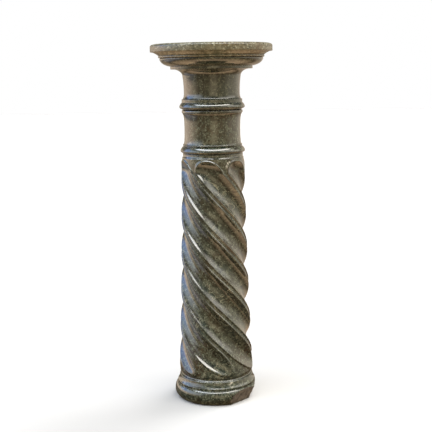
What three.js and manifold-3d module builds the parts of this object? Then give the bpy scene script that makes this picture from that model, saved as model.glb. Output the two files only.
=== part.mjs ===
// Twisted marble column: a spirally fluted shaft with its base, a moulded capital and a round slab.
// Millimetres, +Z up, the origin in the middle of the foot; the photo's side faces -Y.
import * as THREE from 'three';
import { mergeVertices } from 'three/addons/utils/BufferGeometryUtils.js';
import Module from 'manifold-3d';

// Clearance between stones that rest on each other
const joint_gap = 0.3;

// Foot: a thick rounded ring, from the floor up
const foot_contact_radius = 100;
const foot_belly_radius = 119;
const foot_belly_height = 21;
const foot_top_radius = 112;
const foot_height = 44;
const base_fillet_radius = 111;
const base_fillet_height = 5.5;
const flare_height = 21;
const flare_neck_radius = 104.8;
const foot_groove_radius = 100.5;
const foot_groove_height = 4.5;

// Fluted body, widening towards the floor
const body_height = 609.5;
const body_foot_radius = 106.4;
const body_head_radius = 88.9;
const body_foot_rounding = 10;
const body_head_rounding = 10;
const head_groove_radius = 81.2;

// Spiral flutes with round ends
const flute_count = 6;
const flute_half_angle = THREE.MathUtils.degToRad(23.8);
const flute_depth = 15;
const flute_lead = 619;
const flute_start_angle = THREE.MathUtils.degToRad(10.5);
const flute_foot_margin = 8;
const flute_head_margin = 3;

// Collar of the shaft, from the groove up to the joint
const collar_fillet_radius = 84;
const collar_groove_height = 5.5;
const collar_fillet_height = 5.5;
const collar_ring_radius = 90.2;
const collar_ring_height = 18;
const collar_waist_radius = 77.7;
const collar_hollow_height = 27;
const collar_waist_height = 43;
const collar_bead_radius = 84.9;
const collar_bead_height = 10;

// Capital, from the joint up
const capital_ring_radius = 91;
const capital_fillet_radius = 84;
const capital_foot_height = 3;
const capital_ring_height = 17;
const capital_fillet_height = 9;
const capital_hollow_height = 16;
const capital_gorge_radius = 77.4;
const capital_neck_radius = 80.5;
const capital_neck_height = 47;
const capital_cove_radius = 108;
const capital_cove_height = 19;
const capital_shelf_radius = 113.5;
const capital_shelf_height = 8;
const capital_ovolo_radius = 142.8;
const capital_ovolo_height = 19;
const capital_rim_height = 3.5;

// Round slab
const slab_foot_radius = 146.3;
const slab_foot_height = 7;
const slab_cove_radius = 164.5;
const slab_cove_height = 9.5;
const slab_radius = 168.5;
const slab_edge_height = 13.8;
const slab_rounding_width = 11.5;
const slab_rounding_height = 7;

// Broken-off part of the foot: flat fracture faces, each with its bearing, its reach and its lean
const break_faces = [
  { bearing: 47, reach: 107.5, lean: 19 },
  { bearing: 88, reach: 104, lean: 24 },
  { bearing: 113, reach: 109.5, lean: 15 },
];
const break_block = 60;

const lathe_segments = 36;
const body_rows = 32;

const point = (radius, height) => new THREE.Vector2(radius, height);

// An arc of an ellipse, angles in degrees from straight out, with both its ends
function arc(centre_radius, centre_height, reach_out, reach_up, from, to, steps) {
  const curve = new THREE.EllipseCurve(
    centre_radius, centre_height, reach_out, reach_up,
    THREE.MathUtils.degToRad(from), THREE.MathUtils.degToRad(to), to < from,
  );
  return curve.getPoints(steps);
}

function bend(start, control, end, steps) {
  return new THREE.QuadraticBezierCurve(start, control, end).getPoints(steps);
}

function lathe(profile) {
  const geometry = new THREE.LatheGeometry(profile, lathe_segments);
  return geometry.rotateX(Math.PI / 2);
}

// Heights along the shaft, stacked from the floor
const fillet_bottom = foot_height;
const flare_bottom = fillet_bottom + base_fillet_height;
const groove_bottom = flare_bottom + flare_height;
const body_bottom = groove_bottom + foot_groove_height;
const body_top = body_bottom + body_height;
const collar_fillet_bottom = body_top + collar_groove_height;
const collar_ring_bottom = collar_fillet_bottom + collar_fillet_height;
const collar_ring_top = collar_ring_bottom + collar_ring_height;
const collar_hollow_bottom = collar_ring_top + collar_fillet_height;
const collar_waist_bottom = collar_hollow_bottom + collar_hollow_height;
const collar_waist_top = collar_waist_bottom + collar_waist_height;
const collar_bead_bottom = collar_waist_top + collar_hollow_height * 0.8;
const shaft_height = collar_bead_bottom + collar_bead_height;

function base_profile() {
  const belly_out = foot_belly_radius - foot_contact_radius;
  const belly_in = foot_belly_radius - foot_top_radius;
  return [
    point(0, 0),
    ...arc(foot_contact_radius, foot_belly_height, belly_out, foot_belly_height, -90, 0, 4),
    ...arc(foot_top_radius, foot_belly_height, belly_in, foot_height - foot_belly_height, 22, 90, 4),
    point(base_fillet_radius, fillet_bottom),
    ...bend(
      point(base_fillet_radius, flare_bottom),
      point(flare_neck_radius + 1.5, flare_bottom + flare_height * 0.3),
      point(flare_neck_radius, groove_bottom),
      3,
    ),
    point(foot_groove_radius, body_bottom),
  ];
}

function collar_profile() {
  const ring_middle = (collar_ring_bottom + collar_ring_top) / 2;
  const ring_out = collar_ring_radius - collar_fillet_radius;
  const hollow_radius = collar_fillet_radius - 1;
  return [
    point(head_groove_radius, body_top),
    point(collar_fillet_radius, collar_fillet_bottom),
    ...arc(collar_fillet_radius, ring_middle, ring_out, collar_ring_height / 2, -90, 90, 6),
    point(collar_fillet_radius, collar_hollow_bottom),
    ...bend(
      point(hollow_radius, collar_hollow_bottom),
      point(collar_waist_radius + 1.4, collar_hollow_bottom + collar_hollow_height * 0.25),
      point(collar_waist_radius + 0.4, collar_waist_bottom),
      3,
    ),
    point(collar_waist_radius, (collar_waist_bottom + collar_waist_top) / 2),
    ...bend(
      point(collar_waist_radius + 0.5, collar_waist_top),
      point(collar_waist_radius + 1.5, collar_bead_bottom - collar_hollow_height * 0.2),
      point(hollow_radius, collar_bead_bottom),
      3,
    ),
    point(collar_bead_radius, collar_bead_bottom + collar_bead_height * 0.3),
    point(collar_fillet_radius, shaft_height),
    point(0, shaft_height),
  ];
}

// Radius of the unfluted body at a height, with both its ends rounded in
function body_radius(height) {
  const down = (body_top - height) / body_height;
  const swell = (body_foot_radius - body_head_radius) * (down + down * down) / 2;
  const radius = body_head_radius + swell;
  const head = Math.max(0, 1 - (body_top - height) / body_head_rounding);
  const foot = Math.max(0, 1 - (height - body_bottom) / body_foot_rounding);
  const head_cut = (body_head_radius - head_groove_radius) * (1 - Math.sqrt(1 - head * head));
  const foot_cut = (body_foot_radius - foot_groove_radius) * (1 - Math.sqrt(1 - foot * foot));
  return radius - head_cut - foot_cut;
}

// The flute's straight run and round end, laid out flat on the body's surface
const turn_per_height = 2 * Math.PI / flute_lead;

function flute_end(tip_height, upward) {
  const radius = body_radius(tip_height - upward * body_head_rounding);
  const slope = radius * turn_per_height;
  const stretch = Math.sqrt(1 + slope * slope);
  const half_width = radius * flute_half_angle / stretch;
  return { radius, slope, stretch, half_width, upward, centre: tip_height - upward * half_width };
}

const flute_foot = flute_end(body_bottom + flute_foot_margin, -1);
const flute_head = flute_end(body_top - flute_head_margin, 1);

// Height at which a line beside the flute's middle meets its round end
function end_height(end, offset) {
  const sideways = end.radius * offset;
  const left = (end.half_width * end.stretch) ** 2 - sideways ** 2;
  const rise = end.slope * sideways + end.upward * Math.sqrt(Math.max(0, left));
  return end.centre + rise / end.stretch ** 2;
}

// Distance from the flute's middle line, 0 to 1 at the arris
function flute_spread(offset, height) {
  let spread = Math.abs(offset) / flute_half_angle;
  for (const end of [flute_foot, flute_head]) {
    const up = height - end.centre;
    const across = end.radius * offset - end.slope * up;
    const beyond = end.upward * (up - end.slope * across) / end.stretch;
    if (beyond > 0) {
      spread = Math.hypot(across, up) / end.half_width;
    }
  }
  return Math.min(1, spread);
}

// Depth of the flute's round hollow, cut as part of a circle
function hollow_depth(spread) {
  const ratio = flute_depth / flute_head.half_width;
  const circle = (1 + ratio * ratio) / (2 * ratio);
  const floor = Math.sqrt(circle * circle - 1);
  return flute_depth * (Math.sqrt(circle * circle - spread * spread) - floor) / (circle - floor);
}

// Lines that follow the flutes around the body: both arrises and five between them
const flute_lines = [-1, -0.74, -0.4, 0, 0.4, 0.74, 1];

function column_offsets() {
  const columns = [];
  for (let flute = 0; flute < flute_count; flute += 1) {
    for (const line of flute_lines) {
      const offset = line * flute_half_angle;
      columns.push({ offset, angle: flute * 2 * Math.PI / flute_count + offset });
    }
  }
  return columns;
}

function ring_row(profile_point) {
  return () => ({ radius: profile_point.x, height: profile_point.y });
}

// A row between the body's edge and the flutes' ends, at a share of the way
function margin_row(edge_height, end, share) {
  return (column) => {
    const height = THREE.MathUtils.lerp(edge_height, end_height(end, column.offset), share);
    return { radius: body_radius(height), height };
  };
}

function flute_row(share) {
  return (column) => {
    const foot = end_height(flute_foot, column.offset);
    const head = end_height(flute_head, column.offset);
    const height = THREE.MathUtils.lerp(foot, head, share);
    const spread = share === 0 || share === 1 ? 1 : flute_spread(column.offset, height);
    return { radius: body_radius(height) - hollow_depth(spread), height };
  };
}

// Rows are close together in the round ends and even along the run
function flute_shares() {
  const length = flute_head.centre - flute_foot.centre;
  const end_steps = [0, 0.12, 0.36, 0.8].map((step) => step * flute_head.half_width / length);
  const run_start = 1.5 * flute_head.half_width / length;
  const shares = [...end_steps];
  for (let row = 0; row <= body_rows; row += 1) {
    shares.push(THREE.MathUtils.lerp(run_start, 1 - run_start, row / body_rows));
  }
  shares.push(...end_steps.map((step) => 1 - step).reverse());
  return shares;
}

function shaft_geometry() {
  const columns = column_offsets();
  const rows = [
    ...base_profile().map(ring_row),
    ...[0.3, 0.65].map((share) => margin_row(body_bottom, flute_foot, share)),
    ...flute_shares().map(flute_row),
    ...[0.6, 0.25, 0.08].map((share) => margin_row(body_top, flute_head, share)),
    ...collar_profile().map(ring_row),
  ];
  const profile = rows.map((row) => row(columns[0])).map(({ radius, height }) => point(radius, height));
  const geometry = new THREE.LatheGeometry(profile, columns.length);
  const position = geometry.getAttribute('position');
  for (let index = 0; index < position.count; index += 1) {
    const column = columns[Math.floor(index / rows.length) % columns.length];
    const { radius, height } = rows[index % rows.length](column);
    const turned = THREE.MathUtils.clamp(height, body_bottom, body_top);
    const angle = flute_start_angle + column.angle - turn_per_height * turned;
    position.setXYZ(index, radius * Math.sin(angle), -radius * Math.cos(angle), height);
  }
  return geometry;
}

const wasm = await Module();
wasm.setup();

function to_solid(geometry) {
  const bare = geometry.clone().deleteAttribute('normal').deleteAttribute('uv');
  const merged = mergeVertices(bare, 1e-3);
  const index = merged.getIndex().array;
  const corners = [];
  for (let i = 0; i < index.length; i += 3) {
    const [a, b, c] = index.slice(i, i + 3);
    if (a !== b && b !== c && c !== a) {
      corners.push(a, b, c);
    }
  }
  return new wasm.Manifold(new wasm.Mesh({
    numProp: 3,
    vertProperties: new Float32Array(merged.getAttribute('position').array),
    triVerts: new Uint32Array(corners),
  }));
}

function to_geometry(solid) {
  const mesh = solid.getMesh();
  const geometry = new THREE.BufferGeometry();
  geometry.setAttribute('position', new THREE.BufferAttribute(mesh.vertProperties, 3));
  geometry.setIndex(new THREE.BufferAttribute(mesh.triVerts, 1));
  geometry.computeVertexNormals();
  return geometry;
}

// A block that takes one fracture face off the foot, up to the fillet above it
function break_solid({ bearing, reach, lean }) {
  const block = new THREE.BoxGeometry(break_block * 2, break_block, foot_height * 3);
  block.translate(0, -break_block / 2, 0);
  block.rotateX(THREE.MathUtils.degToRad(-lean));
  block.translate(0, -reach, foot_belly_height);
  block.rotateZ(THREE.MathUtils.degToRad(bearing));
  const below = new THREE.CylinderGeometry(foot_belly_radius * 2, foot_belly_radius * 2, foot_height * 2, 24);
  below.rotateX(Math.PI / 2);
  return to_solid(block).intersect(to_solid(below.translate(0, 0, -joint_gap)));
}

function broken_shaft() {
  let solid = to_solid(shaft_geometry());
  for (const face of break_faces) {
    solid = solid.subtract(break_solid(face));
  }
  return to_geometry(solid);
}

function capital_geometry() {
  const ring_bottom = capital_foot_height;
  const ring_top = ring_bottom + capital_ring_height;
  const hollow_bottom = ring_top + capital_fillet_height;
  const gorge_bottom = hollow_bottom + capital_hollow_height;
  const cove_bottom = gorge_bottom + capital_neck_height;
  const shelf_bottom = cove_bottom + capital_cove_height;
  const ovolo_bottom = shelf_bottom + capital_shelf_height;
  const rim_bottom = ovolo_bottom + capital_ovolo_height;
  const height = rim_bottom + capital_rim_height;
  const ring_out = capital_ring_radius - capital_fillet_radius;
  const hollow_in = capital_fillet_radius - 1 - capital_gorge_radius;
  const cove_in = capital_cove_radius - capital_neck_radius;
  const geometry = lathe([
    point(0, 0),
    point(capital_fillet_radius, 0),
    ...arc(capital_fillet_radius, (ring_bottom + ring_top) / 2, ring_out, capital_ring_height / 2, -90, 90, 6),
    point(capital_fillet_radius, hollow_bottom),
    ...arc(capital_fillet_radius - 1, gorge_bottom, hollow_in, capital_hollow_height, 270, 180, 3),
    point(capital_gorge_radius + 0.8, gorge_bottom + capital_neck_height * 0.55),
    ...arc(capital_cove_radius, cove_bottom, cove_in, capital_cove_height, 180, 90, 5),
    point(capital_shelf_radius, shelf_bottom),
    point(capital_shelf_radius, ovolo_bottom),
    ...bend(
      point(capital_shelf_radius + 2, ovolo_bottom),
      point(capital_ovolo_radius - 4, ovolo_bottom + capital_ovolo_height * 0.26),
      point(capital_ovolo_radius, rim_bottom),
      4,
    ),
    point(capital_ovolo_radius, height),
    point(0, height),
  ]);
  return { geometry, height };
}

function slab_geometry() {
  const edge_bottom = slab_foot_height + slab_cove_height;
  const edge_top = edge_bottom + slab_edge_height;
  const height = edge_top + slab_rounding_height;
  const top_radius = slab_radius - slab_rounding_width;
  return lathe([
    point(0, 0),
    point(slab_foot_radius, 0),
    point(slab_foot_radius, slab_foot_height),
    ...bend(
      point(slab_foot_radius + 0.7, slab_foot_height),
      point((slab_foot_radius + slab_cove_radius) / 2 - 2, slab_foot_height + slab_cove_height * 0.62),
      point(slab_cove_radius, edge_bottom),
      3,
    ),
    point(slab_radius, edge_bottom),
    ...arc(top_radius, edge_top, slab_rounding_width, slab_rounding_height, 0, 90, 4),
    point(0, height),
  ]);
}

function marble(name, geometry, color, roughness) {
  const mesh = new THREE.Mesh(geometry, new THREE.MeshStandardMaterial({ color, roughness, metalness: 0 }));
  mesh.name = name;
  return mesh;
}

const shaft = marble('fluted_shaft', broken_shaft(), 0x66624f, 0.25);

const capital_part = capital_geometry();
const capital = marble('capital', capital_part.geometry, 0x625c4d, 0.25);
capital.position.z = shaft_height + joint_gap;

const slab = marble('top_slab', slab_geometry(), 0x6a6957, 0.22);
slab.position.z = capital.position.z + capital_part.height + joint_gap;

const column = new THREE.Group();
column.add(shaft, capital, slab);

export default column;
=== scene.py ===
# Twisted marble column: a spirally fluted shaft, a turned capital and a round slab
import math

import bpy
import numpy as np
from mathutils import Matrix, Vector, noise


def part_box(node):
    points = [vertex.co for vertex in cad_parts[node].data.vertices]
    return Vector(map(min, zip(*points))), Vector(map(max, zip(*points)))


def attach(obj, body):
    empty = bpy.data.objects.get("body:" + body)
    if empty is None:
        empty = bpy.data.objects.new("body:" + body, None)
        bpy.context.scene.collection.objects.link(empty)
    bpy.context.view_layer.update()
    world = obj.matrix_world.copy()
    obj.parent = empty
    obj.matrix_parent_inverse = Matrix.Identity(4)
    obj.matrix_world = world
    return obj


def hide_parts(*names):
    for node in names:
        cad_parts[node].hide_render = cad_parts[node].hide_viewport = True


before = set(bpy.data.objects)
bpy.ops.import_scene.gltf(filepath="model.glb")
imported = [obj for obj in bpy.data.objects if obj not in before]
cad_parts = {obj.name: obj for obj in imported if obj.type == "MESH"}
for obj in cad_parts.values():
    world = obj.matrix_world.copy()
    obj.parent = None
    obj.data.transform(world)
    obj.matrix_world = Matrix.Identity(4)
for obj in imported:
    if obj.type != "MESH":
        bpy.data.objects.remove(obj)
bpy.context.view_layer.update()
shaftLow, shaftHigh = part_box("fluted_shaft")
capitalLow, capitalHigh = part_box("capital")
slabLow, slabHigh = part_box("top_slab")
print("frame loaded, shaft", round(shaftHigh.z, 4), "slab top", round(slabHigh.z, 4))

mm = 0.001
softestCorner = math.radians(24)  # profile corners flatter than this stay as they are
longestCut = 0.45  # share of a profile line that a softened corner may take
flatNormal = 0.98  # a normal this close to upright belongs to a flat bed
finishStretch = 0.6  # the waves of the hand finish are longer up and down


# Profiles are lists of (radius, height) in millimetres, from the foot up

def arc(centreRadius, centreHeight, reachOut, reachUp, start, end, steps):
    points = []
    for i in range(steps + 1):
        angle = math.radians(start + (end - start) * i / steps)
        points.append((centreRadius + reachOut * math.cos(angle), centreHeight + reachUp * math.sin(angle)))
    return points


def bend(start, control, end, steps):
    points = []
    for i in range(steps + 1):
        t = i / steps
        points.append(tuple((1 - t) ** 2 * a + 2 * t * (1 - t) * b + t * t * c
                            for a, b, c in zip(start, control, end)))
    return points


def softened(profile, reach, steps=3):
    # every sharp corner of the profile becomes a small worn curve
    softer = [profile[0]]
    for before, corner, after in zip(profile, profile[1:], profile[2:]):
        into = Vector(corner) - Vector(before)
        out = Vector(after) - Vector(corner)
        if into.length < 1e-6 or out.length < 1e-6 or into.angle(out) < softestCorner:
            softer.append(corner)
            continue
        cutIn = min(reach, into.length * longestCut)
        cutOut = min(reach, out.length * longestCut)
        first = Vector(corner) - into.normalized() * cutIn
        last = Vector(corner) + out.normalized() * cutOut
        softer += bend(tuple(first), corner, tuple(last), steps)
    softer.append(profile[-1])
    return softer


def turnedMesh(name, profile, angles, lift=0.0):
    # a closed surface of revolution; the profile starts and ends on the axis
    rings = [(radius * mm, height * mm + lift) for radius, height in profile[1:-1]]
    columns = len(angles)
    points = [(0.0, 0.0, profile[0][1] * mm + lift)]
    for radius, height in rings:
        points += [(radius * math.sin(a), -radius * math.cos(a), height) for a in angles]
    points.append((0.0, 0.0, profile[-1][1] * mm + lift))
    faces = []
    for i in range(columns):
        faces.append((0, 1 + (i + 1) % columns, 1 + i))
    for ring in range(len(rings) - 1):
        low = 1 + ring * columns
        for i in range(columns):
            j = (i + 1) % columns
            faces.append((low + i, low + j, low + columns + j, low + columns + i))
    last = 1 + (len(rings) - 1) * columns
    for i in range(columns):
        faces.append((len(points) - 1, last + i, last + (i + 1) % columns))
    mesh = bpy.data.meshes.new(name)
    mesh.from_pydata(points, [], faces)
    mesh.update()
    piece = bpy.data.objects.new(name, mesh)
    bpy.context.scene.collection.objects.link(piece)
    return piece


def ringRows(s, bottom, top, fillet, crease):
    # a ring with a low nose, a long bevel that catches the light, and a turn in to the crease above it;
    # bevel points are measured inward and upward from the nose
    nose, noseHeight = s["ringRadius"], bottom + s["ringHeight"] * s["ringNoseShare"]
    bevel = [(nose - inward, noseHeight + upward) for inward, upward in s["ringBevel"]]
    back, under = s["ringTurnIn"]
    rows = arc(fillet, noseHeight, nose - fillet, noseHeight - bottom, -90, 0, 10)
    rows += bend(*bevel[:3], 9)
    return rows + bend(bevel[3], (crease + back, top - under), (crease, top), s["ringTurnSteps"])


def evenAngles(count):
    return [2 * math.pi * i / count for i in range(count)]


def readPoints(mesh):
    flat = np.zeros(len(mesh.vertices) * 3)
    mesh.vertices.foreach_get("co", flat)
    return flat.reshape(-1, 3)


def writePoints(mesh, points):
    mesh.vertices.foreach_set("co", np.ascontiguousarray(points).ravel())
    mesh.update()


def keepMask(mesh, name, values):
    attribute = mesh.attributes.new(name, "FLOAT", "POINT")
    attribute.data.foreach_set("value", np.asarray(values, dtype=np.float32))


def handFinish(mesh, s, low, high):
    # the slight unevenness that hand rubbing leaves, along the surface normal; flat beds stay flat,
    # and nothing passes the solid's own box
    depth, size, seed = s["finishDepth"], s["finishSize"], s["finishSeed"]
    points = readPoints(mesh)
    normals = np.zeros(len(points) * 3)
    mesh.vertices.foreach_get("normal", normals)
    normals = normals.reshape(-1, 3)
    shift = np.array([
        noise.noise(Vector((x / size + seed, y / size, z / size * finishStretch))) for x, y, z in points
    ])
    shift *= np.abs(normals[:, 2]) < flatNormal
    writePoints(mesh, np.clip(points + normals * (shift * depth)[:, None], low, high))


# Nodes for the marble

def nodeTree(owner):
    # a material's or the world's tree, emptied
    owner.use_nodes = True
    tree = owner.node_tree
    tree.nodes.clear()
    return tree


def addNode(tree, kind, place, **settings):
    node = tree.nodes.new(kind)
    node.location = place
    for key, value in settings.items():
        setattr(node, key, value)
    return node


def rampOf(tree, place, factor, stops):
    ramp = addNode(tree, "ShaderNodeValToRGB", place)
    elements = ramp.color_ramp.elements
    while len(elements) < len(stops):
        elements.new(0.5)
    for element, (position, colour) in zip(elements, stops):
        element.position = position
        element.color = (*colour, 1.0)
    tree.links.new(factor, ramp.inputs["Fac"])
    return ramp.outputs["Color"]


def maskOf(tree, place, factor, low, high):
    # black up to low, white from high on
    return rampOf(tree, place, factor, [(low, (0, 0, 0)), (high, (1, 1, 1))])


def blendOf(tree, place, factor, first, second):
    mix = addNode(tree, "ShaderNodeMix", place, data_type="RGBA")
    for socket, value in zip((mix.inputs[0], mix.inputs[6], mix.inputs[7]), (factor, first, second)):
        if isinstance(value, bpy.types.NodeSocket):
            tree.links.new(value, socket)
        elif isinstance(value, tuple):
            socket.default_value = (*value, 1.0)
        else:
            socket.default_value = value
    return mix.outputs[2]


def noiseOf(tree, place, coordinates, scale, detail, roughness=0.55, distortion=0.0):
    texture = addNode(tree, "ShaderNodeTexNoise", place)
    texture.inputs["Scale"].default_value = scale
    texture.inputs["Detail"].default_value = detail
    texture.inputs["Roughness"].default_value = roughness
    texture.inputs["Distortion"].default_value = distortion
    tree.links.new(coordinates, texture.inputs["Vector"])
    return texture.outputs["Fac"]


def sumOf(tree, place, operation, first, second=0.0, clamp=False):
    node = addNode(tree, "ShaderNodeMath", place, operation=operation, use_clamp=clamp)
    for socket, value in zip(node.inputs, (first, second)):
        if isinstance(value, bpy.types.NodeSocket):
            tree.links.new(value, socket)
        else:
            socket.default_value = value
    return node.outputs[0]


def verdeMarble(name, look):
    material = bpy.data.materials.new(name)
    tree = nodeTree(material)
    output = addNode(tree, "ShaderNodeOutputMaterial", (1400, 0))
    surface = addNode(tree, "ShaderNodeBsdfPrincipled", (1100, 0))
    tree.links.new(surface.outputs["BSDF"], output.inputs["Surface"])
    place = addNode(tree, "ShaderNodeTexCoord", (-1400, 0))
    mapping = addNode(tree, "ShaderNodeMapping", (-1200, 0))
    mapping.inputs["Location"].default_value = look["patternShift"]
    mapping.inputs["Rotation"].default_value = look["patternTurn"]
    tree.links.new(place.outputs["Object"], mapping.inputs["Vector"])
    position = mapping.outputs["Vector"]

    # broad drift between olive brown and green grey
    drift = noiseOf(tree, (-900, 500), position, look["driftScale"],
                    detail=3.0, roughness=0.5, distortion=0.8)
    grounds = (look["brown"], look["olive"], look["green"])
    ground = rampOf(tree, (-650, 500), drift, list(zip(look["driftStops"], grounds)))

    # pale clouds, then dark patches over them
    mottle = noiseOf(tree, (-900, 250), position, look["mottleScale"],
                     detail=6.0, roughness=0.66, distortion=0.4)
    cloudMask = maskOf(tree, (-650, 250), mottle, *look["cloudRange"])
    clouded = blendOf(tree, (-300, 450), cloudMask, ground, look["pale"])
    patches = noiseOf(tree, (-900, 0), position, look["mottleScale"] * look["patchFineness"],
                      detail=4.0, roughness=0.6, distortion=0.6)
    patchMask = maskOf(tree, (-650, 0), patches, *look["patchRange"])
    shaded = blendOf(tree, (-50, 400), patchMask, clouded, look["dark"])

    # crystals: single cells of the stone come out pale, more of them where the stone is clouded
    cells = addNode(tree, "ShaderNodeTexVoronoi", (-900, -250), feature="F1")
    cells.inputs["Scale"].default_value = look["fleckScale"]
    tree.links.new(position, cells.inputs["Vector"])
    grey = addNode(tree, "ShaderNodeSeparateColor", (-700, -250))
    tree.links.new(cells.outputs["Color"], grey.inputs["Color"])
    crowding = sumOf(tree, (-650, -380), "MULTIPLY", mottle, look["fleckCrowding"])
    crowd = sumOf(tree, (-500, -250), "ADD", grey.outputs["Red"], crowding)
    halved = sumOf(tree, (-350, -250), "MULTIPLY", crowd, 0.5)  # a ramp reads from 0 to 1
    fleckMask = maskOf(tree, (-200, -250), halved, look["fleckFrom"], look["fleckFrom"] + look["fleckEdge"])
    fleckHere = sumOf(tree, (-50, -100), "MULTIPLY", fleckMask, look["fleckAmount"])
    flecked = blendOf(tree, (200, 350), fleckHere, shaded, look["fleck"])

    # thin veins where a warped noise crosses its middle
    warp = noiseOf(tree, (-900, -500), position, look["veinScale"], detail=5.0, distortion=1.6)
    distance = sumOf(tree, (-650, -500), "ABSOLUTE", sumOf(tree, (-780, -600), "SUBTRACT", warp, 0.5))
    veinMask = rampOf(tree, (-450, -500), distance, [(0.0, (1, 1, 1)), (look["veinWidth"], (0, 0, 0))])
    breakUp = noiseOf(tree, (-900, -750), position, look["veinScale"] * look["gapFineness"],
                      detail=2.0)
    veinHere = sumOf(tree, (-200, -500), "MULTIPLY", veinMask,
                     maskOf(tree, (-450, -750), breakUp, *look["veinGaps"]))
    colour = blendOf(tree, (450, 300), sumOf(tree, (0, -450), "MULTIPLY", veinHere, look["veinAmount"]),
                     flecked, look["vein"])

    # the polish varies a little
    dulling = noiseOf(tree, (-300, -900), position, look["mottleScale"] * look["polishFineness"],
                      detail=3.0)
    spread = addNode(tree, "ShaderNodeMapRange", (200, -800))
    ends = ("From Min", "From Max", "To Min", "To Max")
    for end, value in zip(ends, (*look["polishNoise"], *look["roughness"])):
        spread.inputs[end].default_value = value
    tree.links.new(dulling, spread.inputs["Value"])
    roughness = spread.outputs["Result"]

    if "brokenPale" in look:
        # the unpolished fracture and the chips, from the masks kept on the mesh
        mask = addNode(tree, "ShaderNodeAttribute", (200, -1100), attribute_name="broken").outputs["Fac"]
        grain = noiseOf(tree, (200, -1300), position, look["brokenGrain"], detail=6.0, roughness=0.75)
        stops = zip(look["brokenStops"], (look["brokenDark"], look["brokenPale"]))
        raw = rampOf(tree, (450, -1300), grain, list(stops))
        colour = blendOf(tree, (750, 200), mask, colour, raw)
        bruise = addNode(tree, "ShaderNodeAttribute", (200, -1500), attribute_name="bruised").outputs["Fac"]
        colour = blendOf(tree, (900, 200), bruise, colour, look["bruise"])
        rougher = sumOf(tree, (550, -900), "MULTIPLY", mask, look["brokenRoughness"])
        roughness = sumOf(tree, (750, -500), "ADD", roughness, rougher, True)

    tree.links.new(colour, surface.inputs["Base Color"])
    tree.links.new(roughness, surface.inputs["Roughness"])
    surface.inputs["IOR"].default_value = look["ior"]
    surface.inputs["Coat Weight"].default_value = look["coat"]
    surface.inputs["Coat Roughness"].default_value = look["coatRoughness"]

    bumps = addNode(tree, "ShaderNodeBump", (800, -700))
    bumps.inputs["Strength"].default_value = look["bumpStrength"]
    bumps.inputs["Distance"].default_value = look["bump"]
    waves = noiseOf(tree, (450, -700), position, look["mottleScale"] * look["bumpFineness"], detail=4.0)
    tree.links.new(waves, bumps.inputs["Height"])
    tree.links.new(bumps.outputs["Normal"], surface.inputs["Normal"])
    return material


marbleLook = {
    "patternShift": (0.3, 0.1, 0.0),
    "patternTurn": (0.3, 0.5, 0.2),
    "driftScale": 9.0,
    "driftStops": (0.36, 0.49, 0.61),
    "mottleScale": 95.0,
    "cloudRange": (0.44, 0.62),
    "patchFineness": 1.9,
    "patchRange": (0.50, 0.61),
    "fleckScale": 300.0,
    "fleckCrowding": 0.9,
    "fleckFrom": 0.655,
    "fleckEdge": 0.02,
    "fleckAmount": 0.9,
    "veinScale": 13.0,
    "veinWidth": 0.012,
    "gapFineness": 0.7,
    "veinGaps": (0.48, 0.6),
    "veinAmount": 0.5,
    "brown": (0.019, 0.012, 0.005),
    "olive": (0.015, 0.0135, 0.0065),
    "green": (0.009, 0.016, 0.0115),
    "pale": (0.043, 0.049, 0.033),
    "dark": (0.003, 0.004, 0.002),
    "fleck": (0.075, 0.082, 0.058),
    "vein": (0.24, 0.22, 0.15),
    "polishFineness": 0.5,
    "polishNoise": (0.3, 0.7),
    "roughness": (0.06, 0.14),
    "ior": 1.55,
    "coat": 0.3,
    "coatRoughness": 0.06,
    "bump": 0.0004,
    "bumpStrength": 0.25,
    "bumpFineness": 0.8,
}

fractureLook = {
    "brokenDark": (0.010, 0.008, 0.007),
    "brokenPale": (0.12, 0.105, 0.09),
    "brokenGrain": 75.0,
    "brokenStops": (0.35, 0.65),
    "brokenRoughness": 0.5,
    "bruise": (0.42, 0.40, 0.34),
}


# The shaft is turned plain first, then the node tree twists it and carves the flutes

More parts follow.
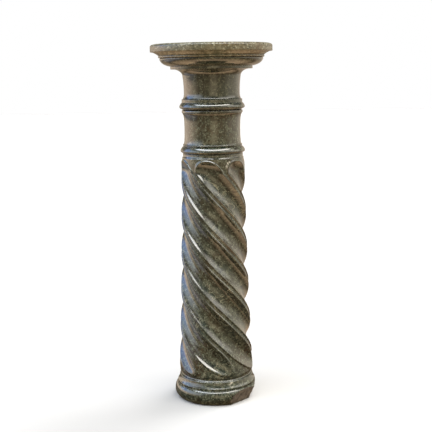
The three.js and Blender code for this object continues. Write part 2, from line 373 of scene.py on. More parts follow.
shaftSizes = {
    # foot and base mouldings, in millimetres
    "footBed": (60, 92), "footContactRadius": 100, "footBellyRadius": 119, "footBellyHeight": 21,
    "footTopRadius": 108, "footHeight": 42.5, "footShoulderStart": 7, "footShoulderEnd": 74,
    "filletRadius": 111, "filletHeight": 5.5, "flareHeight": 19, "flareNeckRadius": 104.8,
    "footGrooveRadius": 100.5, "footGrooveHeight": 8, "lipHeight": 4, "footSoftness": 2.4,
    # fluted body
    "bodyHeight": 617, "bodyFootRadius": 106.4, "bodyHeadRadius": 88.9,
    "footRounding": 7, "headRounding": 9, "headNeckRadius": 83.6,
    # flutes: the lead is the height of one full winding, a lean of 0 follows it and 1 stands upright,
    # and the rim runs between two shares of the half width
    "fluteCount": 6, "fluteHalfAngle": math.radians(23.8), "fluteDepth": 15, "fluteLead": 619,
    "fluteStart": math.radians(10.5), "fluteFootMargin": 11, "fluteHeadMargin": 10.5,
    "fluteFootReach": 64, "fluteFootLean": 0.1, "fluteHeadReach": 32, "fluteHeadLean": 0.7,
    "arrisSoftness": 2.2, "rimStart": 1.03, "rimEnd": 1.19, "rimHeight": 2.9,
    # collar
    "collarFilletRadius": 84, "collarNeckHeight": 11, "collarNeckLip": 5,
    "ringRadius": 90.4, "ringHeight": 19, "ringNoseShare": 0.27,
    "ringTurnIn": (1, 2.2), "ringTurnSteps": 6,
    "ringBevel": ((0.1, 0.4), (0.9, 4.2), (4.7, 9.4), (5.6, 10.2)),
    "collarTopBeadHeight": 4, "collarTopBeadRadius": 83.2, "collarCreaseRadius": 81,
    "collarWaistRadius": 77.7, "collarHollowHeight": 20.5, "collarWaistHeight": 43,
    "collarUpperHollowHeight": 21.6, "collarBeadRadius": 84.9, "collarBeadHeight": 10,
    "jointDepth": 3.5, "jointHeight": 1.6, "topBed": 60, "collarSoftness": 1.2,
    # mesh lines
    "linesInFlute": 12, "linesInFillet": 20, "rowsInRun": 165, "rowsBelowFlutes": 22,
    "rowsNearEnds": (0, 0.5, 1.1, 1.9, 3.0, 4.5, 6.5, 9.0, 12.0, 15.0), "gapAfterEnds": 3,
    "rowsAboveFlutes": (0.03, 0.09, 0.2, 0.33, 0.46, 0.58, 0.69, 0.79, 0.87, 0.94),
    # wear: small chips by bearing, height and size, and the foot's fracture faces
    "bruises": [(25, 69, 3.4), (24, 62, 3.0), (19.5, 58, 3.4), (25, 51, 3.2),
                (24, 668, 3.0), (25.5, 672, 3.0), (28, 677, 3.4), (31.5, 681, 3.0)],
    "bruiseFade": 1.6,
    "breakFaces": [
        {"bearing": 47, "reach": 107.5, "lean": 19},
        {"bearing": 88, "reach": 104, "lean": 24},
        {"bearing": 113, "reach": 109.5, "lean": 15},
    ],
    "breakFacing": 0.3, "breakGrain": ((130, 1.6), (420, 0.5)),
    # in metres: the fracture's roughness and edge, and the hand finish
    "breakInner": 0.07, "breakBand": 0.002, "breakDepth": 0.0006,
    "breakRise": 0.0004, "breakFade": 0.0009,
    "finishDepth": 0.0003, "finishSize": 0.05, "finishSeed": 3.0,
}


def shaftLevels(s):
    # heights along the shaft, stacked from the floor
    levels = {}
    levels["flareBottom"] = s["footHeight"] + s["filletHeight"]
    levels["grooveBottom"] = levels["flareBottom"] + s["flareHeight"]
    levels["bodyBottom"] = levels["grooveBottom"] + s["footGrooveHeight"]
    levels["bodyTop"] = levels["bodyBottom"] + s["bodyHeight"]
    levels["ringBottom"] = levels["bodyTop"] + s["collarNeckHeight"]
    levels["ringTop"] = levels["ringBottom"] + s["ringHeight"]
    levels["hollowBottom"] = levels["ringTop"] + s["collarTopBeadHeight"]
    levels["waistBottom"] = levels["hollowBottom"] + s["collarHollowHeight"]
    levels["waistTop"] = levels["waistBottom"] + s["collarWaistHeight"]
    levels["beadBottom"] = levels["waistTop"] + s["collarUpperHollowHeight"]
    levels["top"] = levels["beadBottom"] + s["collarBeadHeight"]
    return levels


def bodyRadius(s, levels, height):
    # the body swells towards its foot
    down = (levels["bodyTop"] - height) / s["bodyHeight"]
    return s["bodyHeadRadius"] + (s["bodyFootRadius"] - s["bodyHeadRadius"]) * (down + down * down) / 2


def fluteEnd(s, levels, tip, upward, reach, upright):
    # a flute's round end: how far it reaches, and whether it stands upright or follows the spiral
    radius = bodyRadius(s, levels, tip - upward * reach)
    halfWidth = radius * s["fluteHalfAngle"]
    return {
        "radius": radius,
        "lean": upright * radius * 2 * math.pi / s["fluteLead"],
        "halfWidth": halfWidth,
        "squash": (halfWidth / reach) ** 2,
        "centre": tip - upward * reach,
    }


def footRows(s, levels):
    bellyOut = s["footBellyRadius"] - s["footContactRadius"]
    bellyIn = s["footBellyRadius"] - s["footTopRadius"]
    rise = s["footHeight"] - s["footBellyHeight"]
    lipBottom = levels["grooveBottom"] - s["lipHeight"]
    lipOut = s["flareNeckRadius"] - s["footGrooveRadius"]
    rows = [(0, 0)] + [(radius, 0) for radius in s["footBed"]]
    rows += arc(s["footContactRadius"], s["footBellyHeight"], bellyOut, s["footBellyHeight"], -90, 0, 14)
    rows += arc(s["footTopRadius"], s["footBellyHeight"], bellyIn, rise,
                s["footShoulderStart"], s["footShoulderEnd"], 12)
    rows.append((s["filletRadius"], s["footHeight"]))
    rows += bend((s["filletRadius"], levels["flareBottom"]),
                 (s["flareNeckRadius"] + 1.5, levels["flareBottom"] + s["flareHeight"] * 0.3),
                 (s["flareNeckRadius"], lipBottom), 10)
    rows += arc(s["footGrooveRadius"], lipBottom, lipOut, s["lipHeight"], 10, 90, 8)
    return softened(rows, s["footSoftness"])


def bodyRows(s, levels, footEnd, headEnd):
    # rows gather at the flutes' ends and are even along the run
    bottom, top = levels["bodyBottom"], levels["bodyTop"]
    low, high = footEnd["centre"], headEnd["centre"]
    near, gap = s["rowsNearEnds"], s["gapAfterEnds"]
    below, count = s["rowsBelowFlutes"], s["rowsInRun"]
    first, last = low + near[-1] + gap, high - near[-1] - gap
    heights = [bottom + (low - bottom) * i / below for i in range(below)]
    heights += [low + n for n in near]
    heights += [first + (last - first) * i / count for i in range(count + 1)]
    heights += [high - n for n in reversed(near)]
    heights += [high + (top - high) * t for t in s["rowsAboveFlutes"]]
    return [(s["footGrooveRadius"], height) for height in heights]


def collarRows(s, levels):
    fillet, waist, crease = s["collarFilletRadius"], s["collarWaistRadius"], s["collarCreaseRadius"]
    ringBottom, ringTop, top = levels["ringBottom"], levels["ringTop"], levels["top"]
    rows = [(s["headNeckRadius"], levels["bodyTop"]), (fillet, ringBottom - s["collarNeckLip"]),
            (fillet, ringBottom - 3), (fillet - 2, ringBottom - 1.2)]
    # ring, with a small bead on top
    rows += ringRows(s, ringBottom, ringTop, fillet, crease)
    rows += arc(crease, ringTop + s["collarTopBeadHeight"] / 2, s["collarTopBeadRadius"] - crease,
                s["collarTopBeadHeight"] / 2, -58, 62, 9)
    # hollow, waist and upper hollow
    rows += bend((crease - 0.6, levels["hollowBottom"]),
                 (waist + 1.0, levels["hollowBottom"] + s["collarHollowHeight"] * 0.25),
                 (waist + 0.4, levels["waistBottom"]), 8)
    rows.append((waist, (levels["waistBottom"] + levels["waistTop"]) / 2))
    rows += bend((waist + 0.5, levels["waistTop"]),
                 (waist + 1.5, levels["beadBottom"] - s["collarUpperHollowHeight"] * 0.25),
                 (fillet - 1, levels["beadBottom"]), 8)
    rows += bend((fillet, levels["beadBottom"] + 0.6),
                 (s["collarBeadRadius"] + 0.6, levels["beadBottom"] + 5),
                 (fillet, top - s["jointHeight"]), 6)
    # the joint with the capital is a narrow open groove
    rows += [(fillet - s["jointDepth"], top), (s["topBed"], top), (0, top)]
    return softened(rows, s["collarSoftness"])


def shaftRows(s, levels, footEnd, headEnd):
    return footRows(s, levels) + bodyRows(s, levels, footEnd, headEnd) + collarRows(s, levels)


def shaftAngles(s):
    # lines around the shaft: close together at the arrises
    angles = []
    half, gap = s["fluteHalfAngle"], math.pi / s["fluteCount"] - s["fluteHalfAngle"]
    inFlute, inFillet = s["linesInFlute"], s["linesInFillet"]
    for flute in range(s["fluteCount"]):
        middle = flute * 2 * math.pi / s["fluteCount"]
        for i in range(-inFlute, inFlute):
            angles.append(middle + half * math.sin(i / inFlute * math.pi / 2))
        for i in range(inFillet):
            angles.append(middle + half + 2 * gap * i / inFillet)
    return angles


widestShare = 0.985  # the flute's circle is followed out to this share of its radius
edgeMargin = 1e-5  # rows closer than this to the body's ends belong to the mouldings


def carveTree(material):
    # node tree: bends the rows round the flutes' ends, twists them and sinks the hollows
    tree = bpy.data.node_groups.new("carveFlutes", "GeometryNodeTree")
    tree.interface.new_socket(name="Geometry", in_out="INPUT", socket_type="NodeSocketGeometry")
    names = ["Flute Count", "Half Angle", "Depth", "Circle", "Turn", "Start Angle", "Softness",
             "Body Bottom", "Body Top", "Foot Radius", "Head Radius", "Foot Rounding", "Head Rounding",
             "Foot Groove", "Head Neck", "Rim Start", "Rim End", "Rim Height"]
    for end in ("Foot End", "Head End"):
        names += [f"{end} {part}" for part in ("Centre", "Radius", "Lean", "Squash", "Half Width")]
    for name in names:
        tree.interface.new_socket(name=name, in_out="INPUT", socket_type="NodeSocketFloat")
    tree.interface.new_socket(name="Geometry", in_out="OUTPUT", socket_type="NodeSocketGeometry")
    entry = tree.nodes.new("NodeGroupInput")
    column = [0]  # counts the nodes, to lay them out in columns of twelve

    def calc(operation, *values):
        node = tree.nodes.new("ShaderNodeMath")
        node.operation = operation
        node.location = (200 + column[0] // 12 * 190, -(column[0] % 12) * 160)
        column[0] += 1
        for socket, value in zip(node.inputs, values):
            if isinstance(value, str):
                tree.links.new(entry.outputs[value], socket)
            elif isinstance(value, bpy.types.NodeSocket):
                tree.links.new(value, socket)
            else:
                socket.default_value = value
        return node.outputs[0]

    def between(value, low, high, fromValue, toValue):
        # clamped straight-line change of value from low to high
        share = calc("DIVIDE", calc("SUBTRACT", value, low), calc("SUBTRACT", high, low))
        share = calc("MINIMUM", calc("MAXIMUM", share, 0.0), 1.0)
        return calc("ADD", fromValue, calc("MULTIPLY", share, toValue - fromValue))

    place = tree.nodes.new("GeometryNodeInputPosition")
    split = tree.nodes.new("ShaderNodeSeparateXYZ")
    tree.links.new(place.outputs[0], split.inputs[0])
    x, y, z = split.outputs
    blankRadius = calc("SQRT", calc("ADD", calc("MULTIPLY", x, x), calc("MULTIPLY", y, y)))
    blankAngle = calc("ARCTAN2", x, calc("MULTIPLY", y, -1.0))
    halfPeriod = calc("DIVIDE", math.pi, "Flute Count")
    offset = calc("WRAP", blankAngle, halfPeriod, calc("MULTIPLY", halfPeriod, -1.0))
    spreadOut = calc("ABSOLUTE", offset)
    inside = calc("MAXIMUM", calc("MINIMUM", offset, "Half Angle"), calc("MULTIPLY", "Half Angle", -1.0))
    overFillet = calc("DIVIDE", calc("MAXIMUM", calc("SUBTRACT", spreadOut, "Half Angle"), 0.0),
                      calc("SUBTRACT", halfPeriod, "Half Angle"))
    fade = calc("SUBTRACT", 1.0, overFillet)

    def endShift(end, sign):
        # how far a line's end lies above the middle of the round end
        sideways = calc("MULTIPLY", f"{end} Radius", inside)
        whole = calc("ADD", calc("MULTIPLY", f"{end} Lean", f"{end} Lean"), f"{end} Squash")
        widest = calc("MULTIPLY", whole, calc("MULTIPLY", f"{end} Half Width", f"{end} Half Width"))
        used = calc("MULTIPLY", f"{end} Squash", calc("MULTIPLY", sideways, sideways))
        root = calc("SQRT", calc("MAXIMUM", calc("SUBTRACT", widest, used), 0.0))
        slant = calc("MULTIPLY", calc("MULTIPLY", f"{end} Lean", sideways), fade)
        return calc("DIVIDE", calc("ADD", slant, calc("MULTIPLY", root, sign)), whole)

    footWeight = calc("MINIMUM", between(z, "Body Bottom", "Foot End Centre", 0.0, 1.0),
                      between(z, "Foot End Centre", "Head End Centre", 1.0, 0.0))
    headWeight = calc("MINIMUM", between(z, "Foot End Centre", "Head End Centre", 0.0, 1.0),
                      between(z, "Head End Centre", "Body Top", 1.0, 0.0))
    height = calc("ADD", z, calc("ADD", calc("MULTIPLY", endShift("Foot End", -1.0), footWeight),
                                 calc("MULTIPLY", endShift("Head End", 1.0), headWeight)))

    def endSpread(end, sign):
        # distance from the round end's middle, 1 on its edge, and whether the point lies past it
        up = calc("SUBTRACT", height, f"{end} Centre")
        leaning = calc("MULTIPLY", f"{end} Lean", up)
        across = calc("SUBTRACT", calc("MULTIPLY", f"{end} Radius", offset), leaning)
        flat = calc("MULTIPLY", f"{end} Squash", calc("MULTIPLY", up, up))
        away = calc("SQRT", calc("ADD", calc("MULTIPLY", across, across), flat))
        past = calc("GREATER_THAN", calc("MULTIPLY", up, sign), 0.0)
        return calc("DIVIDE", away, f"{end} Half Width"), past

    spread = calc("DIVIDE", spreadOut, "Half Angle")
    for end, sign in (("Foot End", -1.0), ("Head End", 1.0)):
        away, past = endSpread(end, sign)
        spread = calc("ADD", spread, calc("MULTIPLY", past, calc("SUBTRACT", away, spread)))

    # the hollow is part of a circle, with softened edges
    limited = calc("MINIMUM", spread, calc("MULTIPLY", "Circle", widestShare))
    squared = calc("MULTIPLY", "Circle", "Circle")
    chord = calc("SQRT", calc("SUBTRACT", squared, 1.0))
    bow = calc("SQRT", calc("SUBTRACT", squared, calc("MULTIPLY", limited, limited)))
    sagitta = calc("DIVIDE", calc("SUBTRACT", bow, chord), calc("SUBTRACT", "Circle", chord))
    raw = calc("MULTIPLY", "Depth", sagitta)
    soft = calc("SQRT", calc("ADD", calc("MULTIPLY", raw, raw), calc("MULTIPLY", "Softness", "Softness")))
    hollow = calc("MULTIPLY", calc("ADD", raw, soft), 0.5)

    # outside the rim the ground sinks
    pastStart = calc("SUBTRACT", spread, "Rim Start")
    rimShare = calc("DIVIDE", pastStart, calc("SUBTRACT", "Rim End", "Rim Start"))
    rimShare = calc("MINIMUM", calc("MAXIMUM", rimShare, 0.0), 1.0)
    slowing = calc("SUBTRACT", 3.0, calc("MULTIPLY", rimShare, 2.0))
    easing = calc("MULTIPLY", calc("MULTIPLY", rimShare, rimShare), slowing)
    sunk = calc("MULTIPLY", easing, "Rim Height")

    down = calc("DIVIDE", calc("SUBTRACT", "Body Top", height), calc("SUBTRACT", "Body Top", "Body Bottom"))
    swell = calc("MULTIPLY", calc("ADD", down, calc("MULTIPLY", down, down)), 0.5)
    growth = calc("MULTIPLY", calc("SUBTRACT", "Foot Radius", "Head Radius"), swell)
    plain = calc("ADD", "Head Radius", growth)

    def rounded(distance, radius, groove, rounding):
        # quarter round from the groove out to the body
        left = calc("MAXIMUM", calc("SUBTRACT", 1.0, calc("DIVIDE", distance, rounding)), 0.0)
        curve = calc("SQRT", calc("MAXIMUM", calc("SUBTRACT", 1.0, calc("MULTIPLY", left, left)), 0.0))
        return calc("MULTIPLY", calc("SUBTRACT", radius, groove), calc("SUBTRACT", 1.0, curve))

    def eased(distance, radius, neck, rounding):
        # soft shoulder from the neck out to the body
        left = calc("MAXIMUM", calc("SUBTRACT", 1.0, calc("DIVIDE", distance, rounding)), 0.0)
        return calc("MULTIPLY", calc("SUBTRACT", radius, neck), calc("MULTIPLY", left, left))

    fromTop = calc("SUBTRACT", "Body Top", height)
    fromBottom = calc("SUBTRACT", height, "Body Bottom")
    cut = calc("ADD", eased(fromTop, "Head Radius", "Head Neck", "Head Rounding"),
               rounded(fromBottom, "Foot Radius", "Foot Groove", "Foot Rounding"))
    carved = calc("SUBTRACT", calc("SUBTRACT", plain, calc("MAXIMUM", cut, sunk)), hollow)
    onBody = calc("MULTIPLY", calc("GREATER_THAN", z, calc("ADD", "Body Bottom", edgeMargin)),
                  calc("LESS_THAN", z, calc("SUBTRACT", "Body Top", edgeMargin)))
    radius = calc("ADD", blankRadius, calc("MULTIPLY", onBody, calc("SUBTRACT", carved, blankRadius)))
    turned = calc("MAXIMUM", calc("MINIMUM", height, "Body Top"), "Body Bottom")
    angle = calc("SUBTRACT", calc("ADD", blankAngle, "Start Angle"), calc("MULTIPLY", "Turn", turned))
    joined = tree.nodes.new("ShaderNodeCombineXYZ")
    forward = calc("MULTIPLY", radius, calc("COSINE", angle))
    tree.links.new(calc("MULTIPLY", radius, calc("SINE", angle)), joined.inputs[0])
    tree.links.new(calc("MULTIPLY", forward, -1.0), joined.inputs[1])
    tree.links.new(height, joined.inputs[2])

    steps = [
        "GeometryNodeSetPosition",
        "GeometryNodeSetShadeSmooth",
        "GeometryNodeRealizeInstances",
        "GeometryNodeSetMaterial",
    ]
    last = entry.outputs["Geometry"]
    made = []
    for kind in steps:
        node = tree.nodes.new(kind)
        tree.links.new(last, node.inputs["Geometry"])
        last = node.outputs["Geometry"]
        made.append(node)
    tree.links.new(joined.outputs[0], made[0].inputs["Position"])
    made[-1].inputs["Material"].default_value = material
    leave = tree.nodes.new("NodeGroupOutput")
    tree.links.new(last, leave.inputs["Geometry"])
    return tree


def applyTree(piece, tree, values):
    modifier = piece.modifiers.new(tree.name, "NODES")
    modifier.node_group = tree
    for item in tree.interface.items_tree:
        if item.item_type == "SOCKET" and item.in_out == "INPUT" and item.name in values:
            modifier[item.identifier] = float(values[item.name])
    bpy.context.view_layer.update()
    graph = bpy.context.evaluated_depsgraph_get()
    mesh = bpy.data.meshes.new_from_object(piece.evaluated_get(graph))
    piece.modifiers.clear()
    piece.data = mesh


def breakFoot(mesh, s):
    # the fracture faces take off the foot's front right edge, with a rough surface
    points = readPoints(mesh)
    radius = np.hypot(points[:, 0], points[:, 1])
    bearing = np.arctan2(points[:, 0], -points[:, 1])
    low = points[:, 2] < s["footHeight"] * mm
    reach = np.full(len(points), 1.0)
    for face in s["breakFaces"]:
        lean = math.tan(math.radians(face["lean"]))
        away = face["reach"] * mm + (points[:, 2] - s["footBellyHeight"] * mm) * lean
        facing = np.cos(bearing - math.radians(face["bearing"]))
        least = s["breakFacing"]
        reach = np.where(facing > least, np.minimum(reach, away / np.maximum(facing, least)), reach)
    outer = low & (radius > s["breakInner"])
    rough = np.array([
        sum(noise.noise(Vector(p) * fine) * height for fine, height in s["breakGrain"]) if near else 0.0
        for p, near in zip(points, outer & (radius > reach - s["breakBand"]))
    ]) * mm
    wanted = np.minimum(radius, reach - s["breakDepth"] + np.minimum(rough, s["breakRise"]))
    share = np.where(outer, wanted / np.maximum(radius, 1e-9), 1.0)
    taken = radius * (1 - share)
    points[:, 0] *= share
    points[:, 1] *= share
    writePoints(mesh, points)
    keepMask(mesh, "broken", np.clip(taken / s["breakFade"], 0, 1))


def bruiseShaft(mesh, s):
    # small pale chips in the polish, marks of colour only
    points = readPoints(mesh)
    radius = np.hypot(points[:, 0], points[:, 1])
    bearing = np.degrees(np.arctan2(points[:, 0], -points[:, 1]))
    marks = np.zeros(len(points))
    for side, height, size in s["bruises"]:
        across = np.radians(bearing - side) * radius
        away = np.hypot(across, points[:, 2] - height * mm) / (size * mm)
        marks = np.maximum(marks, np.clip(s["bruiseFade"] - away * s["bruiseFade"], 0, 1))
    keepMask(mesh, "bruised", marks)


def makeShaft():
    s = shaftSizes
    levels = shaftLevels(s)
    footTip, headTip = levels["bodyBottom"] + s["fluteFootMargin"], levels["bodyTop"] - s["fluteHeadMargin"]
    footEnd = fluteEnd(s, levels, footTip, -1, s["fluteFootReach"], s["fluteFootLean"])
    headEnd = fluteEnd(s, levels, headTip, 1, s["fluteHeadReach"], s["fluteHeadLean"])
    material = verdeMarble("shaftMarble", {**marbleLook, **fractureLook})
    piece = turnedMesh("twistedShaft", shaftRows(s, levels, footEnd, headEnd), shaftAngles(s), shaftLow.z)
    turnPerHeight = 2 * math.pi / s["fluteLead"]
    # depth by half width at the head gives the radius of the flute's circle, in half widths
    ratio = s["fluteDepth"] * math.hypot(1, turnPerHeight * headEnd["radius"]) / headEnd["halfWidth"]
    values = {
        "Flute Count": s["fluteCount"], "Half Angle": s["fluteHalfAngle"], "Depth": s["fluteDepth"] * mm,
        "Circle": (1 + ratio * ratio) / (2 * ratio), "Turn": turnPerHeight / mm,
        "Start Angle": s["fluteStart"], "Softness": s["arrisSoftness"] * mm,
        "Body Bottom": levels["bodyBottom"] * mm, "Body Top": levels["bodyTop"] * mm,
        "Foot Radius": s["bodyFootRadius"] * mm, "Head Radius": s["bodyHeadRadius"] * mm,
        "Foot Rounding": s["footRounding"] * mm, "Head Rounding": s["headRounding"] * mm,
        "Rim Start": s["rimStart"], "Rim End": s["rimEnd"], "Rim Height": s["rimHeight"] * mm,
        "Foot Groove": s["footGrooveRadius"] * mm, "Head Neck": s["headNeckRadius"] * mm,
    }
    for name, end in (("Foot End", footEnd), ("Head End", headEnd)):
        values[f"{name} Centre"] = end["centre"] * mm
        values[f"{name} Radius"] = end["radius"] * mm
        values[f"{name} Lean"] = end["lean"]
        values[f"{name} Squash"] = end["squash"]
        values[f"{name} Half Width"] = end["halfWidth"] * mm
    applyTree(piece, carveTree(material), values)
    bruiseShaft(piece.data, s)
    breakFoot(piece.data, s)
    handFinish(piece.data, s, shaftLow, shaftHigh)
    print("shaft carved:", len(piece.data.polygons), "faces")
    return piece


# Capital, turned

capitalSizes = {
    "bed": 60, "jointDepth": 3.5, "jointHeight": 1.6, "filletRadius": 84, "footHeight": 3,
    "ringRadius": 91, "ringHeight": 17, "ringNoseShare": 0.32,
    "ringTurnIn": (0.9, 0.8), "ringTurnSteps": 5,
    "ringBevel": ((0.1, 0.4), (0.6, 4.0), (4.0, 8.6), (4.8, 9.2)),
    "filletHeight": 9, "hollowHeight": 16, "gorgeRadius": 77.4, "neckRadius": 80.5, "neckHeight": 47,
    "coveRadius": 108, "coveHeight": 19, "shelfRadius": 113.5, "shelfHeight": 8,
    "ovoloRadius": 142.8, "ovoloHeight": 19, "rimHeight": 3.5,
    "topBed": 90, "topJointDepth": 2.6, "topJointHeight": 1.2, "softness": 1.2, "segments": 168,
    # hand finish, in metres
    "finishDepth": 0.00025, "finishSize": 0.05, "finishSeed": 11.0,
}

capitalLook = {
    **marbleLook,
    "patternShift": (1.7, 0.4, 0.2),
    "patternTurn": (0.9, 0.1, 0.6),
    "brown": (0.013, 0.012, 0.006),
    "olive": (0.010, 0.014, 0.008),
}


def makeCapital():
    s = capitalSizes
    ringTop = s["footHeight"] + s["ringHeight"]
    hollowBottom = ringTop + s["filletHeight"]
    gorgeBottom = hollowBottom + s["hollowHeight"]
    coveBottom = gorgeBottom + s["neckHeight"]
    shelfBottom = coveBottom + s["coveHeight"]
    ovoloBottom = shelfBottom + s["shelfHeight"]
    rimBottom = ovoloBottom + s["ovoloHeight"]
    top = rimBottom + s["rimHeight"]
    fillet, gorge, neck = s["filletRadius"], s["gorgeRadius"], s["neckRadius"]
    cove, shelf, ovolo = s["coveRadius"], s["shelfRadius"], s["ovoloRadius"]
    profile = [(0, 0), (s["bed"], 0), (fillet - s["jointDepth"], 0), (fillet, s["jointHeight"])]
    profile += ringRows(s, s["footHeight"], ringTop, fillet, fillet)
    profile.append((fillet, hollowBottom))
    profile += arc(fillet - 1, gorgeBottom, fillet - 1 - gorge, s["hollowHeight"], 270, 180, 9)
    profile += bend((gorge, gorgeBottom + 4), (gorge, gorgeBottom + s["neckHeight"] * 0.6),
                    (neck, coveBottom), 8)
    profile += arc(cove, coveBottom, cove - neck, s["coveHeight"], 180, 90, 14)[1:]
    profile += [(shelf, shelfBottom), (shelf, ovoloBottom)]
    profile += bend((shelf + 2, ovoloBottom), (ovolo - 4, ovoloBottom + s["ovoloHeight"] * 0.26),
                    (ovolo, rimBottom), 14)
    profile += [(ovolo, top - s["topJointHeight"]), (ovolo - s["topJointDepth"], top),
                (s["topBed"], top), (0, top)]
    rows = softened(profile, s["softness"])
    piece = turnedMesh("turnedCapital", rows, evenAngles(s["segments"]), capitalLow.z)
    handFinish(piece.data, s, capitalLow, capitalHigh)
    piece.data.materials.append(verdeMarble("capitalMarble", capitalLook))
    print("capital turned")
    return piece


# Slab

slabSizes = {
    "bed": 90, "jointDepth": 2.6, "jointHeight": 1.2, "footRadius": 146.3, "footHeight": 7,
    "coveRadius": 164.5, "coveHeight": 9.5, "coveShare": 0.62, "radius": 168.5, "edgeHeight": 13.8,
    "roundingWidth": 11.5, "roundingHeight": 7, "topFlat": 100, "softness": 0.9, "segments": 192,
    # hand finish, in metres
    "finishDepth": 0.0002, "finishSize": 0.06, "finishSeed": 23.0,
}

slabLook = {
    **marbleLook,
    "patternShift": (4.1, 0.9, 0.5),
    "patternTurn": (0.2, 0.7, 1.1),
    "brown": (0.071, 0.050, 0.025),
    "olive": (0.066, 0.058, 0.031),
    "green": (0.046, 0.056, 0.033),
    "pale": (0.12, 0.11, 0.072),
    "dark": (0.020, 0.020, 0.012),
    "fleck": (0.20, 0.20, 0.15),
    "roughness": (0.26, 0.42),
    "coat": 0.1,
}


def makeSlab():
    s = slabSizes
    edgeBottom = s["footHeight"] + s["coveHeight"]
    edgeTop = edgeBottom + s["edgeHeight"]
    top = edgeTop + s["roundingHeight"]
    foot, cove, footTop = s["footRadius"], s["coveRadius"], s["footHeight"]
    profile = [(0, 0), (s["bed"], 0), (foot - s["jointDepth"], 0), (foot, s["jointHeight"]),
               (foot, footTop - 1.6), (foot - 1.8, footTop - 0.6)]
    profile += bend((foot + 0.7, footTop),
                    ((foot + cove) / 2 - 2, footTop + s["coveHeight"] * s["coveShare"]),
                    (cove, edgeBottom), 8)
    profile.append((s["radius"], edgeBottom))
    profile += arc(s["radius"] - s["roundingWidth"], edgeTop, s["roundingWidth"], s["roundingHeight"],
                   0, 90, 10)
    profile += [(s["topFlat"], top), (0, top)]
    rows = softened(profile, s["softness"])
    piece = turnedMesh("roundSlab", rows, evenAngles(s["segments"]), slabLow.z)
    handFinish(piece.data, s, slabLow, slabHigh)
    piece.data.materials.append(verdeMarble("slabMarble", slabLook))
    print("slab turned")
    return piece


for piece, node, slot in (
    (makeShaft(), "fluted_shaft", "shaft_marble"),
    (makeCapital(), "capital", "capital_marble"),
    (makeSlab(), "top_slab", "slab_marble"),
):
    piece.data.shade_smooth()
    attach(piece, "root")
    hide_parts(node)


# Floor, light and camera

studio = {
    "cameraHeight": 0.915, "cameraDistance": 2.516, "cameraTilt": 8.9, "cameraRoll": 0.905,
    "cameraPan": -0.14, "lens": 75.0, "sensorWidth": 36,
    "floorSize": 40.0, "floorHeight": -0.0004, "floorTone": 0.331,
    "shadeRadius": 0.34, "shadeHeight": -0.0002, "shadeSides": 48, "shadeColour": (0.07, 0.05, 0.035),
    "sunPlace": (1.3, 1.1, 3.2), "sunTarget": (0, 0, 0.2), "sunStrength": 4.0, "sunSpread": 28,
    "sunColour": (1.0, 0.99, 0.97),
}
unlit = (0.0, 0.0, 0.0)

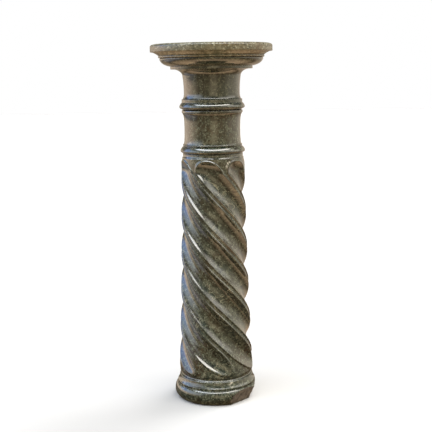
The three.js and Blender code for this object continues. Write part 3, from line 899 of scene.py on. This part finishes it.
# what the polished stone mirrors: colours by bearing round the room, shares of the strength by height
# above eye level, both in degrees
roomGlows = {
    "walls": {
        "bearings": [
            (-180, (0.24, 0.20, 0.15)), (-120, (0.24, 0.20, 0.15)), (-50, (0.32, 0.26, 0.17)),
            (-14, (0.34, 0.28, 0.17)), (-2, (0.84, 0.69, 0.44)), (16, (0.80, 0.66, 0.42)),
            (27, (0.42, 0.34, 0.22)), (52, (0.46, 0.40, 0.27)), (76, (0.72, 0.64, 0.48)),
            (106, (0.70, 0.63, 0.49)), (132, (0.62, 0.55, 0.45)), (156, (0.40, 0.33, 0.26)),
            (180, (0.28, 0.22, 0.17)),
        ],
        "heights": [(-34, 0.0), (-20, 0.4), (-8, 1.0), (9, 1.0), (22, 0.35), (34, 0.0)],
        "strength": 2.0,
    },
    "leftWall": {
        "bearings": [
            (-165, unlit), (-128, (0.74, 0.58, 0.45)), (-100, (0.98, 0.76, 0.58)),
            (-74, (0.50, 0.42, 0.30)), (-56, unlit),
        ],
        "heights": [(-11, 0.0), (-6, 0.9), (-2, 1.0), (6, 1.0), (12, 0.0)],
        "strength": 2.4,
    },
    "coolWindow": {
        "bearings": [
            (-130, unlit), (-115, (0.28, 0.46, 0.95)), (-98, (0.42, 0.62, 1.0)),
            (-74, (0.72, 0.84, 1.0)), (-52, (0.58, 0.64, 0.68)), (-36, unlit),
        ],
        "heights": [(1, 0.0), (8, 0.8), (24, 1.0), (33, 0.7), (40, 0.0)],
        "strength": 3.6,
    },
    "coolFloor": {
        "bearings": [(-150, unlit), (-122, (0.62, 0.73, 1.0)), (-84, (0.62, 0.73, 1.0)), (-60, unlit)],
        "heights": [(-40, 0.0), (-26, 1.0), (-14, 0.7), (-5, 0.0)],
        "strength": 0.8,
    },
    "warmWindow": {
        "bearings": [
            (28, unlit), (44, (0.72, 0.68, 0.60)), (66, (0.94, 0.89, 0.80)),
            (82, (1.0, 0.95, 0.87)), (92, (0.45, 0.43, 0.39)), (101, unlit),
        ],
        "heights": [(20, 0.0), (28, 0.6), (34, 1.0), (41, 1.0), (46, 0.0)],
        "strength": 3.6,
    },
    "warmSide": {
        "bearings": [(58, unlit), (78, (0.72, 0.68, 0.60)), (102, (1.0, 0.95, 0.87)), (120, unlit)],
        "heights": [(8, 0.0), (16, 0.8), (27, 1.0), (34, 0.0)],
        "strength": 2.4,
    },
    "frontGlow": {
        "bearings": [(-56, unlit), (-42, (0.95, 0.97, 1.0)), (-26, (1.0, 0.98, 0.94)), (0, unlit)],
        "heights": [(20, 0.0), (27, 0.9), (34, 1.0), (40, 0.0)],
        "strength": 1.3,
    },
    "strip": {
        "bearings": [
            (-98, unlit), (-84, (0.82, 0.90, 1.0)), (-20, (0.95, 0.97, 1.0)),
            (12, (1.0, 0.97, 0.92)), (84, (1.0, 0.95, 0.87)), (98, unlit),
        ],
        "heights": [(46, 0.0), (49, 1.0), (60, 1.0), (65, 0.0)],
        "strength": 12.5,
    },
    "ceiling": {
        "bearings": [
            (-180, (0.45, 0.44, 0.42)), (-100, (1.0, 0.97, 0.93)), (100, (1.0, 0.95, 0.86)),
            (180, (0.45, 0.44, 0.42)),
        ],
        "heights": [(6, 0.0), (30, 0.25), (50, 1.0), (90, 0.6)],
        "strength": 0.9,
    },
    "ground": {
        "bearings": [(-180, (1.0, 0.68, 0.41)), (180, (1.0, 0.68, 0.41))],
        "heights": [(-90, 1.0), (-58, 1.0), (-44, 0.5), (-34, 0.1), (-24, 0.2), (-14, 0.0)],
        "strength": 2.3,
    },
}


def dullPlate(name, materialName, corners, height, colour):
    mesh = bpy.data.meshes.new(name)
    mesh.from_pydata([(x, y, height) for x, y in corners], [], [tuple(range(len(corners)))])
    plate = bpy.data.objects.new(name, mesh)
    bpy.context.scene.collection.objects.link(plate)
    material = bpy.data.materials.new(materialName)
    tree = nodeTree(material)
    output = addNode(tree, "ShaderNodeOutputMaterial", (300, 0))
    surface = addNode(tree, "ShaderNodeBsdfDiffuse", (0, 0))
    surface.inputs["Color"].default_value = (*colour, 1)
    tree.links.new(surface.outputs[0], output.inputs["Surface"])
    mesh.materials.append(material)
    return plate


def makeFloor():
    # a cut-out floor: it takes the shadow but throws no light back
    half, tone = studio["floorSize"] / 2, studio["floorTone"]
    corners = ((-half, -half), (half, -half), (half, half), (-half, half))
    floor = dullPlate("studioFloor", "paleFloor", corners, studio["floorHeight"], (tone, tone, tone))
    floor.visible_diffuse = False
    floor.visible_glossy = False
    floor.visible_shadow = False

    # the darker ground close to the foot, only for what the stone mirrors
    reach = studio["shadeRadius"]
    corners = [(reach * math.sin(a), reach * -math.cos(a)) for a in evenAngles(studio["shadeSides"])]
    ground = dullPlate("groundShade", "groundShade", corners, studio["shadeHeight"], studio["shadeColour"])
    ground.visible_camera = False
    ground.visible_diffuse = False
    ground.visible_shadow = False


def addSoftSun(name):
    light = bpy.data.lights.new(name, "SUN")
    light.energy = studio["sunStrength"]
    light.angle = math.radians(studio["sunSpread"])
    light.color = studio["sunColour"]
    lamp = bpy.data.objects.new(name, light)
    lamp.visible_glossy = False
    bpy.context.scene.collection.objects.link(lamp)
    source, target = Vector(studio["sunPlace"]), Vector(studio["sunTarget"])
    turn = (target - source).to_track_quat("-Z", "Y").to_matrix().to_4x4()
    lamp.matrix_world = Matrix.Translation(source) @ turn


def makeLight():
    world = bpy.data.worlds.new("softRoom")
    bpy.context.scene.world = world
    tree = nodeTree(world)
    place = addNode(tree, "ShaderNodeTexCoord", (-1200, 0))
    split = addNode(tree, "ShaderNodeSeparateXYZ", (-1000, 0))
    tree.links.new(place.outputs["Generated"], split.inputs[0])
    x, y, z = split.outputs
    turn = sumOf(tree, (-600, 200), "ARCTAN2", x, sumOf(tree, (-800, 200), "MULTIPLY", y, -1.0))
    bearing = sumOf(tree, (-300, 200), "ADD", sumOf(tree, (-450, 200), "DIVIDE", turn, 2 * math.pi), 0.5)
    rise = sumOf(tree, (-600, -200), "ARCSINE", z)
    height = sumOf(tree, (-300, -200), "ADD", sumOf(tree, (-450, -200), "DIVIDE", rise, math.pi), 0.5)
    total = None
    for row, glow in enumerate(roomGlows.values()):
        colours = [(b / 360 + 0.5, c) for b, c in glow["bearings"]]
        shares = [(h / 180 + 0.5, (v, v, v)) for h, v in glow["heights"]]
        colour = rampOf(tree, (0, -400 * row), bearing, colours)
        mask = rampOf(tree, (0, -400 * row - 200), height, shares)
        light = addNode(tree, "ShaderNodeBackground", (500, -400 * row))
        tree.links.new(colour, light.inputs["Color"])
        strength = sumOf(tree, (300, -400 * row - 200), "MULTIPLY", mask, glow["strength"])
        tree.links.new(strength, light.inputs["Strength"])
        if total is None:
            total = light.outputs[0]
            continue
        join = addNode(tree, "ShaderNodeAddShader", (700, -400 * row))
        tree.links.new(total, join.inputs[0])
        tree.links.new(light.outputs[0], join.inputs[1])
        total = join.outputs[0]
    # the backdrop itself is plain white
    backdrop = addNode(tree, "ShaderNodeBackground", (700, 300))
    backdrop.inputs["Color"].default_value = (1, 1, 1, 1)
    seen = addNode(tree, "ShaderNodeLightPath", (700, 700))
    choose = addNode(tree, "ShaderNodeMixShader", (1000, 0))
    tree.links.new(seen.outputs["Is Camera Ray"], choose.inputs[0])
    tree.links.new(total, choose.inputs[1])
    tree.links.new(backdrop.outputs[0], choose.inputs[2])
    output = addNode(tree, "ShaderNodeOutputWorld", (1200, 0))
    tree.links.new(choose.outputs[0], output.inputs["Surface"])
    addSoftSun("softSun")


def makeCamera():
    data = bpy.data.cameras.new("photoCamera")
    data.lens = studio["lens"]
    data.sensor_width = studio["sensorWidth"]
    camera = bpy.data.objects.new("photoCamera", data)
    bpy.context.scene.collection.objects.link(camera)
    turn = Matrix.Rotation(math.radians(studio["cameraPan"]), 4, "Z")
    tilt = Matrix.Rotation(math.radians(90 - studio["cameraTilt"]), 4, "X")
    roll = Matrix.Rotation(math.radians(-studio["cameraRoll"]), 4, "Z")
    place = Matrix.Translation(Vector((0, -studio["cameraDistance"], studio["cameraHeight"])))
    camera.matrix_world = place @ turn @ tilt @ roll
    bpy.context.scene.camera = camera


makeFloor()
makeLight()
makeCamera()
bpy.context.scene.view_settings.view_transform = "Standard"
print("studio ready")
